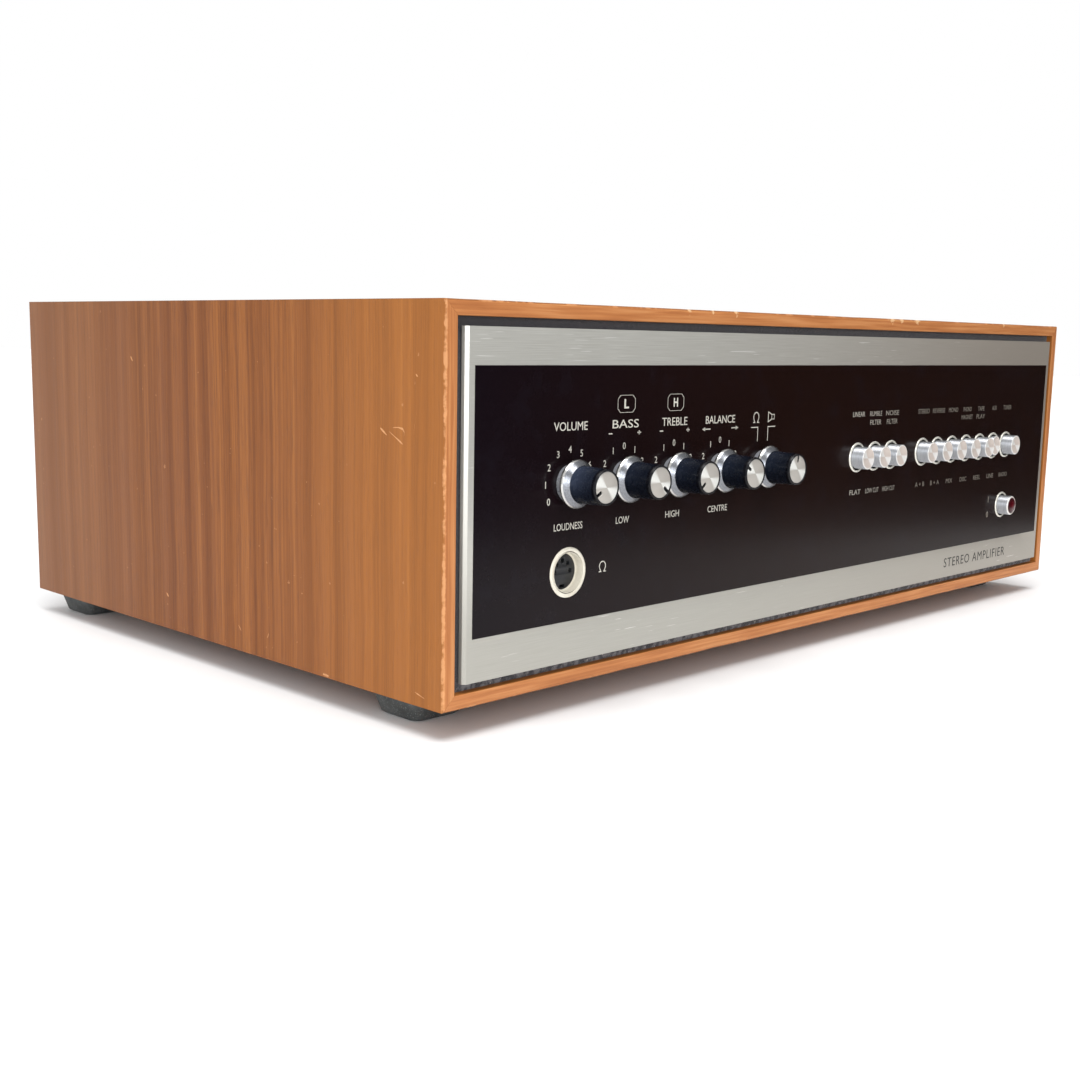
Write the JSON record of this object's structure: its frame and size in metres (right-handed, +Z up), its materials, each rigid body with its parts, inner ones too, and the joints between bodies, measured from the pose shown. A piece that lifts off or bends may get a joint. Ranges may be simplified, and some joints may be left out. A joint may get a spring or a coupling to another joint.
{
  "type": "integrated amplifier",
  "caption": "Wood-cased integrated audio amplifier with rotary tone controls, round push buttons, a front headphone socket and rear connectors.",
  "frame": {"origin": "middle of the footprint, on the surface the feet stand on", "axes": "+X to the right seen from the front, +Y from the front panel to the back, +Z up"},
  "size_m": [0.42, 0.2958, 0.138],
  "materials": {
    "walnut_veneer": "oiled veneer, satin",
    "felt": "dark felt",
    "fascia_metal": "fine horizontal brushing, black printed field",
    "chassis_steel": "passivated sheet",
    "rear_panel_metal": "grey satin paint",
    "knob_black": "black satin",
    "bright_ring": "polished",
    "collar_metal": "turned",
    "spun_aluminium": "spun end faces",
    "shaft_steel": "ground",
    "bezel_metal": "satin",
    "lens_red": "dark red, clear",
    "socket_ring": "ivory moulding",
    "socket_black": "moulded",
    "foot_rubber": "moulded",
    "screw_steel": "plated",
    "control_metal": "plated cans",
    "switch_plastic": "moulded",
    "lamination": "varnished laminations",
    "winding": "taped copper winding",
    "capacitor_can": "sleeved can",
    "sink_black": "black anodised",
    "transistor_can": "plated",
    "circuit_board": "laminate"
  },
  "bodies": {
    "case": {"cabinet_top": "walnut_veneer", "cabinet_bottom": "walnut_veneer", "cabinet_left": "walnut_veneer", "cabinet_right": "walnut_veneer", "felt_strips": "felt", "fascia_plate": "fascia_metal", "chassis_tray": "chassis_steel", "rear_panel": "rear_panel_metal", "rubber_feet": "foot_rubber", "machine_screws": "screw_steel", "button_bezels": "bezel_metal", "knob_collars": "collar_metal", "headphone_ring": "socket_ring", "headphone_insert": "socket_black", "rotary_controls": "control_metal", "push_switch_bank": "switch_plastic", "power_switch": "switch_plastic", "transformer_core": "lamination", "transformer_winding": "winding", "reservoir_capacitors": "capacitor_can", "heat_sink": "sink_black", "output_transistors": "transistor_can", "power_amp_board": "circuit_board", "tone_board": "circuit_board", "rear_din_sockets": "socket_black", "speaker_sockets": "socket_black", "fuse_holders": "socket_black", "mains_inlet": "socket_black"},
    "volume_control": {"volume_knob": "knob_black", "volume_knob_skirt": "bright_ring", "volume_knob_cap": "spun_aluminium", "volume_shaft": "shaft_steel"},
    "bass_control": {"bass_knob": "knob_black", "bass_knob_skirt": "bright_ring", "bass_knob_cap": "spun_aluminium", "bass_shaft": "shaft_steel"},
    "treble_control": {"treble_knob": "knob_black", "treble_knob_skirt": "bright_ring", "treble_knob_cap": "spun_aluminium", "treble_shaft": "shaft_steel"},
    "balance_control": {"balance_knob": "knob_black", "balance_knob_skirt": "bright_ring", "balance_knob_cap": "spun_aluminium", "balance_shaft": "shaft_steel"},
    "output_control": {"output_knob": "knob_black", "output_knob_skirt": "bright_ring", "output_knob_cap": "spun_aluminium", "output_shaft": "shaft_steel"},
    "filter_key_1": {"filter_button_1": "spun_aluminium"},
    "filter_key_2": {"filter_button_2": "spun_aluminium"},
    "filter_key_3": {"filter_button_3": "spun_aluminium"},
    "source_key_1": {"source_button_1": "spun_aluminium"},
    "source_key_2": {"source_button_2": "spun_aluminium"},
    "source_key_3": {"source_button_3": "spun_aluminium"},
    "source_key_4": {"source_button_4": "spun_aluminium"},
    "source_key_5": {"source_button_5": "spun_aluminium"},
    "source_key_6": {"source_button_6": "spun_aluminium"},
    "source_key_7": {"source_button_7": "spun_aluminium"},
    "power_key": {"power_button": "spun_aluminium", "power_lens": "lens_red"}
  },
  "joints": [
    {"name": "volume_turn", "type": "hinge", "parent": "case", "child": "volume_control", "pos_m": [-0.1556, -0.1408, 0.0792], "axis": [0, 1, 0], "range_deg": [-15, 255]},
    {"name": "bass_turn", "type": "hinge", "parent": "case", "child": "bass_control", "pos_m": [-0.1285, -0.1408, 0.0792], "axis": [0, 1, 0], "range_deg": [-265, 5]},
    {"name": "treble_turn", "type": "hinge", "parent": "case", "child": "treble_control", "pos_m": [-0.1014, -0.1408, 0.0792], "axis": [0, 1, 0], "range_deg": [-5, 265]},
    {"name": "balance_turn", "type": "hinge", "parent": "case", "child": "balance_control", "pos_m": [-0.0743, -0.1408, 0.0792], "axis": [0, 1, 0], "range_deg": [-75, 195]},
    {"name": "output_turn", "type": "hinge", "parent": "case", "child": "output_control", "pos_m": [-0.0472, -0.1408, 0.0792], "axis": [0, 1, 0], "range_deg": [-30, 30]},
    {"name": "filter_button_1_push", "type": "slide", "parent": "case", "child": "filter_key_1", "axis": [0, 1, 0], "range_m": [0, 0.0037], "stiffness_N_per_m": 400},
    {"name": "filter_button_2_push", "type": "slide", "parent": "case", "child": "filter_key_2", "axis": [0, 1, 0], "range_m": [0, 0.0037], "stiffness_N_per_m": 400},
    {"name": "filter_button_3_push", "type": "slide", "parent": "case", "child": "filter_key_3", "axis": [0, 1, 0], "range_m": [0, 0.0037], "stiffness_N_per_m": 400},
    {"name": "source_button_1_push", "type": "slide", "parent": "case", "child": "source_key_1", "axis": [0, 1, 0], "range_m": [0, 0.0037], "stiffness_N_per_m": 400},
    {"name": "source_button_2_push", "type": "slide", "parent": "case", "child": "source_key_2", "axis": [0, 1, 0], "range_m": [0, 0.0037], "stiffness_N_per_m": 400},
    {"name": "source_button_3_push", "type": "slide", "parent": "case", "child": "source_key_3", "axis": [0, 1, 0], "range_m": [0, 0.0037], "stiffness_N_per_m": 400},
    {"name": "source_button_4_push", "type": "slide", "parent": "case", "child": "source_key_4", "axis": [0, 1, 0], "range_m": [0, 0.0037], "stiffness_N_per_m": 400},
    {"name": "source_button_5_push", "type": "slide", "parent": "case", "child": "source_key_5", "axis": [0, 1, 0], "range_m": [0, 0.0037], "stiffness_N_per_m": 400},
    {"name": "source_button_6_push", "type": "slide", "parent": "case", "child": "source_key_6", "axis": [0, 1, 0], "range_m": [-0.0037, 0]},
    {"name": "source_button_7_push", "type": "slide", "parent": "case", "child": "source_key_7", "axis": [0, 1, 0], "range_m": [0, 0.0037], "stiffness_N_per_m": 400},
    {"name": "power_button_push", "type": "slide", "parent": "case", "child": "power_key", "axis": [0, 1, 0], "range_m": [0, 0.0037], "stiffness_N_per_m": 400}
  ]
}
